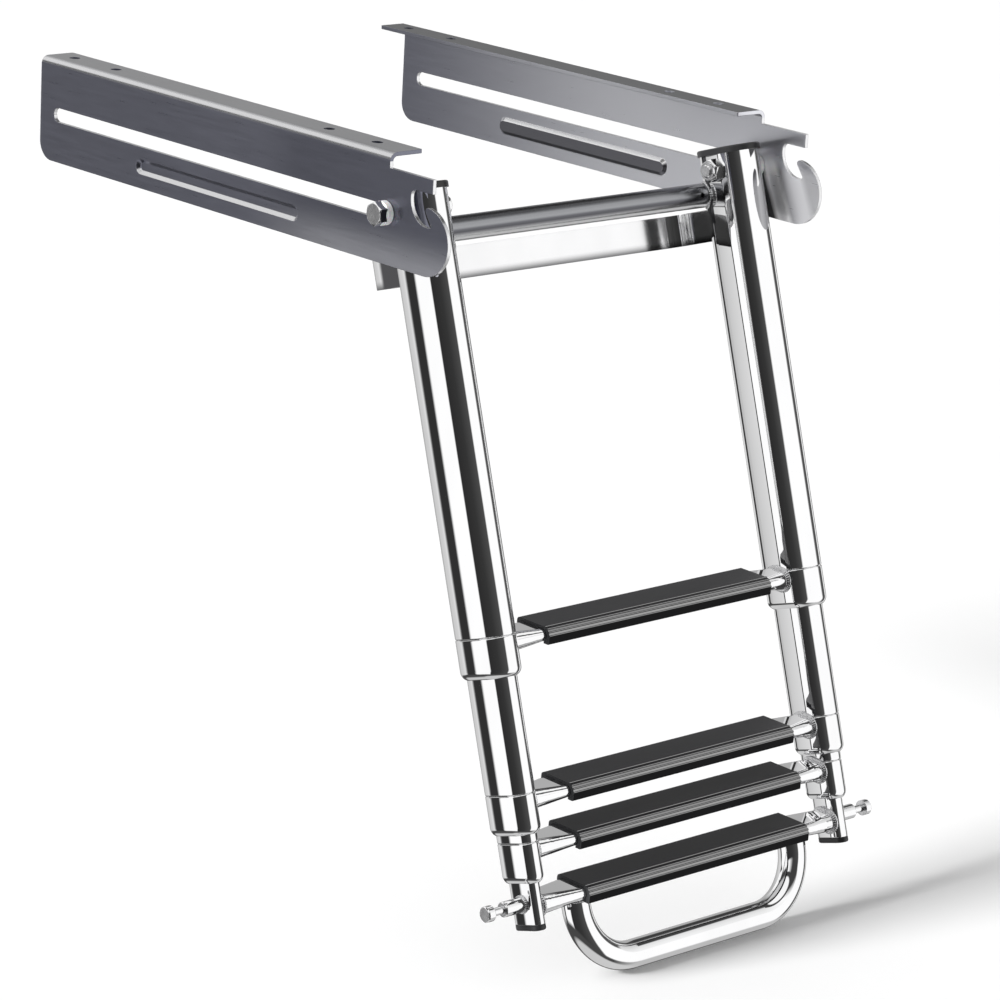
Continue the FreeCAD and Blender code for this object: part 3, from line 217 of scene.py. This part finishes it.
def polished_steel():
    """Mirror polished stainless steel: slightly crowned flats on the tubes, a satin crossbar with painted
    reflection and shade bands round its girth, and painted shade on the strap's lower rim and left end.
    """
    m = Shader("polished_steel")
    smears = m.noise(m.stretched((1, 1, 0.25)), 26)
    bright = m.ramp(smears, [(0.3, (0.92, 0.92, 0.925)), (0.7, (0.97, 0.97, 0.975))])
    nx, ny, nz = m.facing()
    px, py, pz = m.parts_of(m.place)
    across = m.math("DIVIDE", m.math("SUBTRACT", px, MIDDLE), MM)
    off_middle = m.math("ABSOLUTE", across)
    from_y = m.math("DIVIDE", m.math("SUBTRACT", py, PIVOT_Y), MM)
    from_z = m.math("DIVIDE", m.math("SUBTRACT", pz, PIVOT_Z), MM)
    behind = m.math("SUBTRACT", m.math("MULTIPLY", from_y, math.cos(TILT)),
                    m.math("MULTIPLY", from_z, math.sin(TILT)))
    down = m.math("MULTIPLY", m.math("ADD", m.math("MULTIPLY", from_y, math.sin(TILT)),
                                     m.math("MULTIPLY", from_z, math.cos(TILT))), -1.0)

    # the crossbar is satin, rougher than the tubes; its colour is painted in bands by which way it faces:
    # painted reflections and painted shade round its girth
    satin = m.math("MULTIPLY", m.math("GREATER_THAN", behind, 9.5), m.math("LESS_THAN", behind, 31.0))
    satin = m.math("MULTIPLY", satin, m.math("LESS_THAN", off_middle, CROSSBAR_END))
    satin = m.math("MULTIPLY", satin, m.math("LESS_THAN", down, 40.0))
    girth = m.math("MULTIPLY_ADD", nz, 0.5, 0.5)
    # painted reflection and shade: bright underneath, darkest across the front and mid grey on top
    dull_ends_and_painted_bands = m.ramp(girth, [
        (0.06, (0.95, 0.95, 0.96)), (0.30, (0.96, 0.96, 0.97)), (0.39, (0.26, 0.26, 0.27)),
        (0.47, (0.10, 0.10, 0.11)), (0.56, (0.15, 0.15, 0.165)), (0.64, (0.33, 0.335, 0.35)),
        (0.78, (0.36, 0.365, 0.38)), (0.84, (0.28, 0.285, 0.30)), (1.0, (0.25, 0.25, 0.265)),
    ])
    colour = m.mix(satin, bright, dull_ends_and_painted_bands)
    # the strap's lower rim and its left end lie in shade
    rim = m.math("MULTIPLY", m.math("GREATER_THAN", behind, STRAP_FROM), m.between(down, 46.5, 54.5))
    colour = m.mix(m.math("MULTIPLY", rim, 0.95), colour, (0.10, 0.10, 0.105))
    end = m.math("MULTIPLY", m.math("LESS_THAN", across, -150.0), m.math("GREATER_THAN", behind, STRAP_FROM))
    end = m.math("MULTIPLY", end, m.math("SUBTRACT", 1.0, m.between(behind, 52.0, 56.0)))
    colour = m.mix(end, colour, (0.09, 0.09, 0.095))
    rough = m.math("ADD", m.span(m.noise(m.place, 55), 0.01, 0.045), m.math("MULTIPLY", satin, 0.2))

    # the flats of the tubes swell a little, and the rear strap is bowed
    flat = m.between(m.math("ABSOLUTE", nx), 0.96, 0.995)
    swell = m.math("MAXIMUM", m.math("MINIMUM", m.math("DIVIDE", behind, 10.0), 1.0), -1.0)
    lean = m.math("MULTIPLY", m.math("MULTIPLY", swell, flat), 0.14)
    bowed = m.math("MULTIPLY", m.math("GREATER_THAN", behind, STRAP_BACK), m.math("LESS_THAN", ny, -0.8))
    # the right tubes' inner flats lie turned away, and their noses turned in
    tube = m.math("MULTIPLY", m.math("GREATER_THAN", across, TUBES_FROM), m.math("LESS_THAN", behind, 27.0))
    inward = m.ramp(m.math("MULTIPLY_ADD", nx, 0.5, 0.5), [
        (0.001, (0.52, 0.52, 0.52)), (0.017, (0.63, 0.63, 0.63)), (0.172, (0.95, 0.95, 0.95)),
        (0.35, (0.77, 0.77, 0.77)), (0.52, (0.48, 0.48, 0.48)), (0.65, (0.357, 0.357, 0.357)),
    ])
    recess = m.math("MULTIPLY", m.math("LESS_THAN", nx, -0.985), m.between(behind, -6.0, -2.0))
    turn = m.math("SUBTRACT", m.math("MULTIPLY", inward, 0.7), 0.25)
    twist = m.math("MULTIPLY", tube, m.math("SUBTRACT", turn, m.math("MULTIPLY", recess, 0.36)))
    aside = m.math("MULTIPLY", m.math("MULTIPLY", ny, twist), -1.0)
    push_x = m.math("SUBTRACT", aside, m.math("MULTIPLY", bowed, 0.25))
    push_y = m.math("ADD", m.math("MULTIPLY", lean, math.cos(TILT)), m.math("MULTIPLY", nx, twist))
    push = m.node("ShaderNodeCombineXYZ")
    m.link(push_x, push.inputs["X"])
    m.link(push_y, push.inputs["Y"])
    m.link(m.math("MULTIPLY", lean, -math.sin(TILT)), push.inputs["Z"])
    turned = m.node("ShaderNodeVectorTransform", vector_type="VECTOR", convert_from="OBJECT",
                    convert_to="WORLD")
    m.link(push.outputs[0], turned.inputs[0])
    pushed = m.node("ShaderNodeVectorMath", operation="ADD")
    m.link(m.node("ShaderNodeNewGeometry").outputs["Normal"], pushed.inputs[0])
    m.link(turned.outputs[0], pushed.inputs[1])
    unit = m.node("ShaderNodeVectorMath", operation="NORMALIZE")
    m.link(pushed.outputs[0], unit.inputs[0])
    rough = m.math("ADD", rough, m.math("MULTIPLY", bowed, 0.09))
    wave = m.bump(m.noise(m.place, 9, 1), 0.05, 0.004, unit.outputs[0])
    return m.put(Base_Color=colour, Metallic=1.0, Roughness=rough, Normal=wave)


def fastener_steel():
    """Fasteners: turned sides nearly as bright as the tubes, and duller end faces."""
    m = Shader("fastener_steel")
    nx, ny, nz = m.facing()
    end = m.between(m.math("ABSOLUTE", nx), 0.90, 0.98)
    dull_ends_and_painted_bands = m.ramp(m.noise(m.place, 240), [(0.3, (0.60, 0.60, 0.61)), (0.7, (0.78, 0.78, 0.79))])
    colour = m.mix(end, (0.93, 0.93, 0.935), dull_ends_and_painted_bands)
    rough = m.math("ADD", m.span(m.noise(m.place, 300), 0.03, 0.08), m.math("MULTIPLY", end, 0.20))
    normal = m.bump(m.noise(m.place, 700), 0.05, 0.0005, m.edges(0.0005))
    return m.put(Base_Color=colour, Metallic=1.0, Roughness=rough, Normal=normal)


def rail_steel():
    """Blue-grey satin sheet with bright cut edges, brushed along the rail; painted light on it: a painted
    highlight along the bend, painted light and shade on the webs and flanges, and a painted shadow and
    painted reflections on the right hook.
    """
    m = Shader("rail_steel")
    brushed = m.noise(m.stretched((1, 0.05, 1)), 700, 2)
    clouds = m.noise(m.place, 7)
    nx, ny, nz = m.facing()
    px, py, pz = m.parts_of(m.place)
    forward = m.math("MULTIPLY", py, -1.0)
    left = m.mix(clouds, (0.265, 0.270, 0.330), (0.305, 0.310, 0.375))
    # painted shade: the left web darker towards the front; painted light: much paler low down at the front
    left = m.mix(m.between(forward, 0.06, 0.12), left, (0.215, 0.220, 0.270))
    low = m.between(m.math("MULTIPLY", pz, -1.0), 0.050, 0.084)
    low_front = m.math("MULTIPLY", m.between(forward, 0.04, 0.16), low)
    left = m.mix(low_front, left, (0.62, 0.625, 0.68))
    # painted light: the right web a painted gradient from dark at the rear to bright at the front
    right = m.mix(m.between(forward, -0.24, 0.12), (0.28, 0.285, 0.34), (0.82, 0.825, 0.87))
    on_right = m.math("GREATER_THAN", px, MIDDLE)
    # painted shade: a dark band along the bead on the right web's inner face
    raised = m.math("MULTIPLY", m.math("LESS_THAN", px, MIDDLE + BEAD_FOOT), m.math("LESS_THAN", pz, -0.045))
    right = m.mix(raised, right, (0.19, 0.19, 0.21))
    # painted light on the right hook: a painted shadow beside the tube, then painted reflections outwards
    hook = m.math("MULTIPLY", on_right, m.math("GREATER_THAN", forward, HOOK_FROM))
    hook = m.math("MULTIPLY", hook, m.between(m.math("MULTIPLY", pz, -1.0), 0.034, 0.046))
    hook_painted_light = m.math("ADD", forward, m.math("MULTIPLY_ADD", pz, 0.5, 0.0245))
    hook_painted_light = m.ramp(m.math("MULTIPLY", m.math("SUBTRACT", hook_painted_light, HOOK_FROM), 1 / 0.06), [
        (0.0, (0.10, 0.10, 0.105)), (0.10, (0.015, 0.015, 0.017)), (0.20, (0.04, 0.04, 0.042)),
        (0.29, (0.97, 0.97, 0.98)), (0.37, (0.82, 0.82, 0.84)), (0.47, (0.97, 0.97, 0.98)),
        (0.55, (0.42, 0.42, 0.44)), (0.70, (0.62, 0.62, 0.64)), (0.88, (0.75, 0.75, 0.77)),
        (1.0, (0.55, 0.55, 0.57)),
    ])
    right = m.mix(hook, right, hook_painted_light)
    web = m.mix(on_right, left, right)
    flange = m.mix(clouds, (0.50, 0.502, 0.52), (0.60, 0.602, 0.62))
    # painted shade: the right flange a darker copy of the left one
    flange = m.mix(on_right, flange, (0.17, 0.171, 0.182))
    # painted light: upward faces take the paler flange colour, upright faces the web's
    face = m.mix(m.between(nz, 0.10, 0.45), web, flange)
    upright = m.math("LESS_THAN", pz, -0.0064)
    side = m.math("LESS_THAN", m.math("ABSOLUTE", nx), 0.5)
    colour = m.mix(m.math("MULTIPLY", upright, side), face, (0.92, 0.92, 0.93))
    # painted highlight along the bend, weaker on the right rail
    bend = m.math("MULTIPLY", m.between(nz, 0.25, 0.55), m.math("SUBTRACT", 1.0, m.between(nz, 0.75, 0.95)))
    colour = m.mix(bend, colour, m.mix(on_right, (0.66, 0.66, 0.67), (0.92, 0.92, 0.93)))
    rough = m.math("SUBTRACT", m.span(brushed, 0.25, 0.34), m.math("MULTIPLY", bend, 0.12))
    metal = m.math("SUBTRACT", 1.0, m.math("MULTIPLY", hook, 0.3))
    normal = m.bump(brushed, 0.05, 0.0002, m.edges(0.0006))
    return m.put(Base_Color=colour, Metallic=metal, Roughness=rough, Normal=normal)


def nylon():
    """Milky white bushes."""
    m = Shader("nylon")
    colour = m.ramp(m.noise(m.place, 160), [(0.3, (0.88, 0.88, 0.87)), (0.7, (0.94, 0.94, 0.935))])
    return m.put(Base_Color=colour, Roughness=0.42, Normal=m.edges(0.0008), Subsurface_Weight=0.15,
                 Subsurface_Scale=0.002)


def cap_plastic():
    """Black caps and plugs with a fine grain."""
    m = Shader("cap_plastic")
    colour = m.ramp(m.noise(m.place, 90), [(0.3, (0.012, 0.012, 0.013)), (0.7, (0.022, 0.022, 0.023))])
    grain = m.bump(m.noise(m.place, 1800), 0.08, 0.0003, m.edges(0.0006))
    return m.put(Base_Color=colour, Roughness=0.34, Normal=grain)


def tread_plastic():
    """Black grip plastic: charcoal top, glossy ribs along the nose, a dull front with painted shade making
    it near black, and ends painted paler with painted light.
    """
    m = Shader("tread_plastic")
    grain = m.noise(m.stretched((0.05, 1, 1)), 800, 2)
    clouds = m.noise(m.stretched((0.4, 1, 1)), 30)
    nx, ny, nz = m.facing()
    px, py, pz = m.parts_of(m.place)
    top = m.mix(clouds, (0.012, 0.012, 0.014), (0.024, 0.024, 0.027))
    front = m.math("SUBTRACT", 1.0, m.between(nz, 0.80, 0.97))
    end = m.between(m.math("ABSOLUTE", nx), 0.6, 0.8)
    # painted shade: the front faces take a near-black copy of the top; painted light: the end faces a paler
    # one
    colour = m.mix(end, m.mix(front, top, (0.003, 0.003, 0.004)), (0.060, 0.061, 0.064))
    forward = m.math("GREATER_THAN", m.math("MULTIPLY", ny, -1.0), 0.2)
    sheen = m.math("MULTIPLY", m.between(nz, 0.12, 0.30), m.math("SUBTRACT", 1.0, m.between(nz, 0.72, 0.90)))
    sheen = m.math("MULTIPLY", m.math("MULTIPLY", sheen, forward), m.math("SUBTRACT", 1.0, end))
    rough = m.math("SUBTRACT", m.span(clouds, 0.36, 0.46), m.math("MULTIPLY", sheen, 0.22))
    dulled = m.math("MULTIPLY", front, m.math("SUBTRACT", 1.0, sheen))
    index = m.math("SUBTRACT", 1.5, m.math("MULTIPLY", dulled, 0.32))
    index = m.math("ADD", index, m.math("MULTIPLY", sheen, 2.2))
    return m.put(Base_Color=colour, Roughness=rough, IOR=index, Normal=m.bump(grain, 0.12, 0.0003))


def weld_steel():
    """Bright weld metal with tiny ripples."""
    m = Shader("weld_steel")
    colour = m.ramp(m.noise(m.place, 400), [(0.3, (0.60, 0.60, 0.61)), (0.7, (0.84, 0.84, 0.85))])
    rough = m.span(m.noise(m.place, 500), 0.08, 0.28)
    return m.put(Base_Color=colour, Metallic=1.0, Roughness=rough,
                 Normal=m.bump(m.noise(m.place, 900), 0.25, 0.0004))


LOOKS = {
    "polished_steel": polished_steel(),
    "fastener_steel": fastener_steel(),
    "rail_steel": rail_steel(),
    "nylon": nylon(),
    "cap_plastic": cap_plastic(),
    "tread_plastic": tread_plastic(),
}
WELD = weld_steel()

for entry in frame["record"]["subparts"]:
    node = nodes[entry["node"]]
    node.data.materials.clear()
    node.data.materials.append(LOOKS[entry["material_slot"]])


# Weld beads

def bead(name, path, radius, body, closed=True, pitch=1.7 * MM):
    """A rippled weld bead along a path of points in the row frame."""
    if closed:
        path = path + [path[0]]
    lengths = [0.0]
    for a, b in zip(path, path[1:]):
        lengths.append(lengths[-1] + (b - a).length)
    total = lengths[-1]
    ripples = max(4, round(total / pitch))
    steps = ripples * 6
    rings = []
    ring_size = 10
    mesh = bmesh.new()
    spots = []
    leg = 0
    for k in range(steps + (0 if closed else 1)):
        along = total * k / steps
        while leg < len(path) - 2 and lengths[leg + 1] < along:
            leg += 1
        share = (along - lengths[leg]) / max(1e-9, lengths[leg + 1] - lengths[leg])
        spots.append(path[leg].lerp(path[leg + 1], share))
    count = len(spots)
    centre = sum(spots, Vector()) / count
    for k, spot in enumerate(spots):
        ahead = spots[(k + 1) % count] if closed else spots[min(k + 1, count - 1)]
        behind = spots[k - 1] if closed else spots[max(k - 1, 0)]
        along = (ahead - behind).normalized()
        out = (spot - centre) - (spot - centre).project(along)
        if out.length < 1e-6:
            out = along.orthogonal()
        out.normalize()
        third = along.cross(out)
        phase = (k % 6) / 6
        swell = radius * (0.84 + 0.16 * math.sin(math.pi * phase))
        ring = []
        for j in range(ring_size):
            turn = 2 * math.pi * j / ring_size
            ring.append(mesh.verts.new(spot + out * swell * math.cos(turn) + third * swell * math.sin(turn)))
        rings.append(ring)
    last = count if closed else count - 1
    for k in range(last):
        one, two = rings[k], rings[(k + 1) % count]
        for j in range(ring_size):
            mesh.faces.new((one[j], one[(j + 1) % ring_size], two[(j + 1) % ring_size], two[j]))
    if not closed:
        mesh.faces.new(rings[0])
        mesh.faces.new(rings[-1])
    bmesh.ops.recalc_face_normals(mesh, faces=mesh.faces)
    data = bpy.data.meshes.new(name)
    mesh.to_mesh(data)
    mesh.free()
    for face in data.polygons:
        face.use_smooth = True
    piece = bpy.data.objects.new(name, data)
    bpy.context.scene.collection.objects.link(piece)
    data.materials.append(WELD)
    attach(piece, body)
    return piece


def obround_path(x, y, z, width, height, count=72):
    """The outline of a lying flat oval in a plane across the treads."""
    radius = height / 2
    reach = (width - height) / 2
    path = []
    for k in range(count):
        turn = 2 * math.pi * k / count
        shift = reach if math.cos(turn) > 0 else -reach
        path.append(Vector((x, y + shift + radius * math.cos(turn), z + radius * math.sin(turn))))
    return path


SECTIONS = ["upper_section", "second_section", "third_section", "bottom_section"]
# round both ends of each step bar
for number, body in enumerate(SECTIONS, start=1):
    low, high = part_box("step_bar_%d" % number)
    y = (low.y + high.y) / 2
    z = high.z - 7.5 * MM
    for side, x in (("left", low.x + 0.6 * MM), ("right", high.x - 0.6 * MM)):
        path = obround_path(x, y, z, 24.2 * MM, 16.7 * MM)
        bead("%s_step_%d_weld" % (side, number), path, 1.7 * MM, body)

for side, sign in (("left", -1), ("right", 1)):
    path = []
    # round the crossbar's end, on the tube's round side
    for k in range(60):
        turn = 2 * math.pi * k / 60
        q = CROSSBAR_BEHIND + CROSSBAR_RADIUS * math.cos(turn)
        s = CROSSBAR_DROP + CROSSBAR_RADIUS * math.sin(turn)
        reach = min(q - 10, 14.5)
        across = TUBE_MIDDLE - math.sqrt(TUBE_END_RADIUS ** 2 - reach ** 2)
        path.append(ladder(sign * (across - 0.3), s, q))
    bead(side + "_crossbar_weld", path, 1.2 * MM, "upper_section")

    # round the latch pin's boss
    path = []
    for k in range(40):
        turn = 2 * math.pi * k / 40
        s = PIN_DROP + PIN_WELD_RADIUS * math.cos(turn)
        q = PIN_WELD_RADIUS * math.sin(turn)
        path.append(ladder(sign * PIN_WELD_ACROSS, s, q))
    bead(side + "_pin_weld", path, 0.9 * MM, "bottom_section", pitch=1.4 * MM)

    # round the grab loop's end, under the lowest step bar, which thins towards its middle
    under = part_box("step_bar_4")[1].z - 9 * MM
    path = []
    for k in range(60):
        turn = 2 * math.pi * k / 60
        x = LOOP_ACROSS + LOOP_WELD_RADIUS * math.cos(turn)
        q = LOOP_WELD_RADIUS * math.sin(turn)
        lower = max(0.0, x - LOOP_ACROSS) / 40.5 * 6.25 * MM
        s = ((PIVOT_Z - (under - lower)) / MM - q * math.sin(TILT)) / math.cos(TILT) + 0.5
        path.append(ladder(sign * x, s, q))
    bead(side + "_loop_weld", path, 1.3 * MM, "bottom_section")

    # down both faces of the strap's end, on the back of the tube
    for tag, across in (("inner", 155.5), ("outer", 159.5)):
        q = STRAP_BEHIND + math.sqrt(TUBE_END_RADIUS ** 2 - (TUBE_MIDDLE - across) ** 2)
        path = [ladder(sign * across, STRAP_DROP + STRAP_WELD_LENGTH * k / 20, q) for k in range(21)]
        bead("%s_strap_%s_weld" % (side, tag), path, 1.1 * MM, "upper_section", closed=False)


# Studio

scene = bpy.context.scene
scene.view_settings.view_transform = "Standard"

low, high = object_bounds()
floor_data = bpy.data.meshes.new("floor")
floor_mesh = bmesh.new()
bmesh.ops.create_grid(floor_mesh, x_segments=1, y_segments=1, size=30)
floor_mesh.to_mesh(floor_data)
floor_mesh.free()
floor = bpy.data.objects.new("floor", floor_data)
floor.location = (MIDDLE, 0, low.z - 1 * MM)
scene.collection.objects.link(floor)
paper = Shader("paper")
paper_colour = paper.ramp(paper.noise(paper.place, 3), [
    (0.3, (0.95, 0.95, 0.95)), (0.7, (0.97, 0.97, 0.97)),
])
floor_data.materials.append(paper.put(Base_Color=paper_colour, Roughness=0.9))
floor.visible_glossy = False
# the floor goes down with the foot when the ladder is drawn out, and never rises above this place
rest_level = floor.location.z
foot = nodes["grab_loop"]
follow = floor.constraints.new("COPY_LOCATION")
follow.target = foot
follow.use_x = False
follow.use_y = False
follow.use_offset = True
floor.location.z = rest_level - foot.matrix_world.translation.z
stay = floor.constraints.new("LIMIT_LOCATION")
stay.use_max_z = True
stay.max_z = rest_level


# a broad soft light from the left, so the foot's shadow falls to the right and rear
light_data = bpy.data.lights.new("softbox", "SUN")
light_data.energy = 4.8
light_data.angle = math.radians(16)
softbox = bpy.data.objects.new("softbox", light_data)
softbox.rotation_mode = "QUATERNION"
softbox.rotation_quaternion = Vector((0.881, -0.176, -0.425)).to_track_quat("-Z", "Y")
softbox.visible_glossy = False
scene.collection.objects.link(softbox)

world = bpy.data.worlds.new("studio")
scene.world = world
world.use_nodes = True
tree = world.node_tree
tree.nodes.clear()


def wnode(kind, **settings):
    made = tree.nodes.new(kind)
    for key, setting in settings.items():
        setattr(made, key, setting)
    return made


def wmath(operation, a, b=0.0):
    made = wnode("ShaderNodeMath", operation=operation)
    for socket, item in zip(made.inputs, (a, b)):
        if isinstance(item, (int, float)):
            socket.default_value = item
        else:
            tree.links.new(item, socket)
    return made.outputs[0]


def wramp(value, stops):
    made = wnode("ShaderNodeValToRGB")
    band = made.color_ramp
    while len(band.elements) < len(stops):
        band.elements.new(0.5)
    for element, (place, shade) in zip(band.elements, stops):
        element.position = place
        element.color = (shade, shade, shade, 1)
    tree.links.new(value, made.inputs["Fac"])
    return made.outputs["Color"]


direction = wnode("ShaderNodeTexCoord").outputs["Generated"]
split = wnode("ShaderNodeSeparateXYZ")
tree.links.new(direction, split.inputs[0])
turn = wmath("ARCTAN2", split.outputs["Y"], split.outputs["X"])
turn = wmath("FRACT", wmath("DIVIDE", turn, 2 * math.pi))
# the studio's dark cards and white panels round the object: compass angle and brightness
CARDS = [
    (0, 0.30), (3, 0.90), (13, 0.90), (18, 0.10), (26, 0.10), (32, 0.40), (75, 0.42),
    (100, 0.62), (117, 0.72), (120, 0.03), (134, 0.03), (137, 1.0), (181, 1.0), (185, 0.025),
    (230, 0.035), (276, 0.07), (281, 1.0), (335, 1.0), (341, 0.08), (357, 0.08),
]
# the panels above them
UPPER = [
    (0, 0.60), (14, 0.60), (20, 0.06), (44, 0.06), (58, 0.40), (90, 0.95), (200, 0.95),
    (230, 0.05), (280, 0.05), (300, 1.0), (360, 0.60),
]
# the panels below them
LOWER = [(0, 0.5), (15, 0.5), (25, 0.06), (290, 0.06), (325, 0.5), (360, 0.5)]
# the plain parts of what the metal mirrors: straight below, a ring overhead and the top
BELOW = 0.58
HIGH_RING = 0.05
OVERHEAD = 0.95


def panels(stops):
    """The brightness of one ring of cards round the object."""
    return wramp(turn, [(angle / 360, shade) for angle, shade in stops])


def blend(low, high, factor):
    """From one ring to the next one up."""
    made = wnode("ShaderNodeMix", data_type="RGBA")
    for socket, item in ((made.inputs["Factor"], factor), (made.inputs["A"], low), (made.inputs["B"], high)):
        if isinstance(item, float):
            socket.default_value = (item, item, item, 1)
        else:
            tree.links.new(item, socket)
    return made.outputs["Result"]


# the height in the sky, 0 straight down and 1 straight up
rise = wmath("MULTIPLY_ADD", split.outputs["Z"], 0.5)
rise.node.inputs[2].default_value = 0.5
mirrored = blend(BELOW, panels(LOWER), wramp(rise, [(0.08, 0.0), (0.12, 1.0)]))
mirrored = blend(mirrored, panels(CARDS), wramp(rise, [(0.20, 0.0), (0.25, 1.0)]))
mirrored = blend(mirrored, panels(UPPER), wramp(rise, [(0.68, 0.0), (0.71, 1.0)]))
mirrored = blend(mirrored, HIGH_RING, wramp(rise, [(0.855, 0.0), (0.865, 1.0)]))
mirrored = blend(mirrored, OVERHEAD, wramp(rise, [(0.905, 0.0), (0.92, 1.0)]))

# mirrors see the cards, dull surfaces an even grey, and the camera white
path = wnode("ShaderNodeLightPath")
seen = wnode("ShaderNodeMix", data_type="RGBA")
seen.inputs["A"].default_value = (0.45, 0.45, 0.45, 1)
tree.links.new(path.outputs["Is Glossy Ray"], seen.inputs["Factor"])
glow = wnode("ShaderNodeVectorMath", operation="SCALE")
tree.links.new(mirrored, glow.inputs[0])
glow.inputs["Scale"].default_value = 1.05
tree.links.new(glow.outputs[0], seen.inputs["B"])
shown = wnode("ShaderNodeMix", data_type="RGBA")
shown.inputs["B"].default_value = (1, 1, 1, 1)
tree.links.new(path.outputs["Is Camera Ray"], shown.inputs["Factor"])
tree.links.new(seen.outputs["Result"], shown.inputs["A"])
back = wnode("ShaderNodeBackground")
tree.links.new(shown.outputs["Result"], back.inputs["Color"])
out = wnode("ShaderNodeOutputWorld")
tree.links.new(back.outputs["Background"], out.inputs["Surface"])


# Camera, at the photograph's angle

AZIMUTH = math.radians(-42.38)
ELEVATION = math.radians(16.09)
ROLL = math.radians(3.19)
LENS = 142.4
STAND = Vector((-1.8228, -2.3325, 0.5494))
backward = Vector((math.sin(AZIMUTH) * math.cos(ELEVATION), -math.cos(AZIMUTH) * math.cos(ELEVATION),
                   math.sin(ELEVATION)))
right = Vector((math.cos(AZIMUTH), math.sin(AZIMUTH), 0))
upward = backward.cross(right)
rolled_right = right * math.cos(ROLL) + upward * math.sin(ROLL)
rolled_up = upward * math.cos(ROLL) - right * math.sin(ROLL)
camera_data = bpy.data.cameras.new("camera")
camera_data.sensor_width = 36
camera_data.lens = LENS
camera = bpy.data.objects.new("camera", camera_data)
turned = Matrix((rolled_right, rolled_up, backward)).transposed()
camera.matrix_world = Matrix.Translation(STAND) @ turned.to_4x4()
scene.collection.objects.link(camera)
scene.camera = camera
